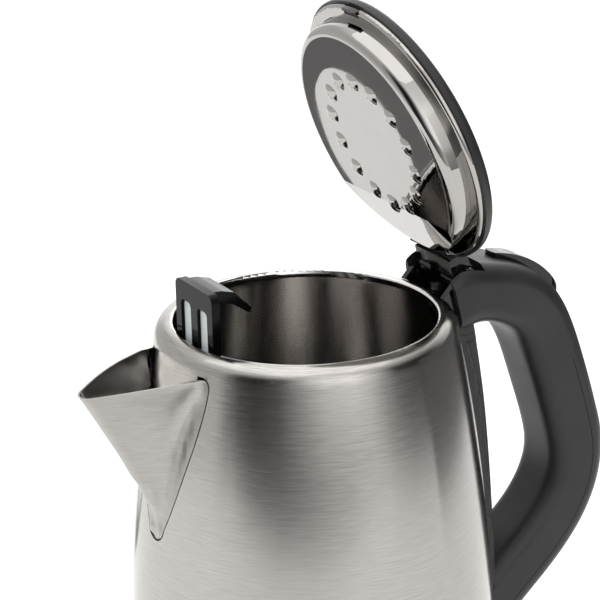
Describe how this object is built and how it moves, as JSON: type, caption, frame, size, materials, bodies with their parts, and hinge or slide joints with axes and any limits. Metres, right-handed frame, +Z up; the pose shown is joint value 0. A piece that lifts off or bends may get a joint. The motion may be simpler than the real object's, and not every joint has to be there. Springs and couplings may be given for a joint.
{
  "type": "electric kettle",
  "caption": "Cordless electric kettle: tapered brushed steel jug with V-shaped beak spout, hinged lid standing open, loop handle with release button, lift-out filter, and round power base.",
  "frame": {"origin": "centre of the power base's underside, on the table and on the jug's axis", "axes": "+Z up along the jug's axis, +X towards the handle, -X towards the spout, +Y across, with the handle and spout in the XZ plane"},
  "size_m": [0.228, 0.156, 0.3174],
  "materials": {
    "brushed_steel": "brushed",
    "polished_steel": "mirror polished",
    "satin_plastic": "satin",
    "gloss_plastic": "gloss",
    "inner_plastic": "matte",
    "filter_net": "fine woven net",
    "clear_plastic": "clear",
    "rubber": "matte",
    "cast_aluminium": "as cast",
    "contact_brass": "plain",
    "zinc_steel": "zinc plated"
  },
  "bodies": {
    "power_base": {"base_shell": "satin_plastic", "base_floor": "inner_plastic", "base_screws": "zinc_steel", "foot_ring": "rubber", "base_coupler": "inner_plastic", "base_contacts": "contact_brass"},
    "jug": {"jug_body": "brushed_steel", "spout": "brushed_steel", "element_plate": "polished_steel", "heat_spreader": "cast_aluminium", "heating_element": "cast_aluminium", "floor_seal": "rubber", "foot_collar": "satin_plastic", "bottom_cover": "satin_plastic", "bottom_screws": "zinc_steel", "control_unit": "inner_plastic", "socket_contacts": "contact_brass", "filter_rails": "inner_plastic", "spine_base": "satin_plastic", "gauge_window": "clear_plastic", "gauge_seal": "rubber", "spine_cover": "satin_plastic", "handle_grip": "satin_plastic", "handle_cover": "satin_plastic", "hinge_bracket": "gloss_plastic", "hinge_pin": "zinc_steel", "bracket_screws": "zinc_steel", "steam_tube": "rubber"},
    "lid": {"lid_cover": "satin_plastic", "lid_plate": "polished_steel", "lid_band": "polished_steel", "lid_clip": "gloss_plastic", "lid_hinge_block": "gloss_plastic"},
    "filter": {"filter_frame": "gloss_plastic", "filter_mesh": "filter_net"},
    "button": {"lid_button": "gloss_plastic"},
    "latch": {"lid_latch": "gloss_plastic"},
    "switch": {"switch_lever": "gloss_plastic"}
  },
  "joints": [
    {"name": "jug_lift", "type": "slide", "parent": "power_base", "child": "jug", "axis": [0, 0, 1], "range_m": [0, 0.08]},
    {"name": "lid_hinge", "type": "hinge", "parent": "jug", "child": "lid", "pos_m": [0.0639, 0, 0.2055], "axis": [0, 1, 0], "range_deg": [-71, 0], "stiffness_Nm_per_rad": 0.05, "springref_deg": 57.3},
    {"name": "filter_slide", "type": "slide", "parent": "jug", "child": "filter", "axis": [0, 0, 1], "range_m": [-0.03, 0]},
    {"name": "lid_button", "type": "hinge", "parent": "jug", "child": "button", "pos_m": [0.086, 0, 0.2035], "axis": [0, 1, 0], "range_deg": [0, 4], "stiffness_Nm_per_rad": 0.3, "springref_deg": -5.73},
    {"name": "latch_slide", "type": "slide", "parent": "jug", "child": "latch", "axis": [1, 0, 0], "range_m": [0, 0.002]},
    {"name": "switch_lever", "type": "hinge", "parent": "jug", "child": "switch", "pos_m": [0.0758, 0, 0.035], "axis": [0, 1, 0], "range_deg": [0, 10]}
  ],
  "couplings": [
    {"joint": "filter_slide", "follows": "lid_hinge", "m_per_rad": 0.024209},
    {"joint": "latch_slide", "follows": "lid_button", "m_per_rad": 0.028648}
  ]
}
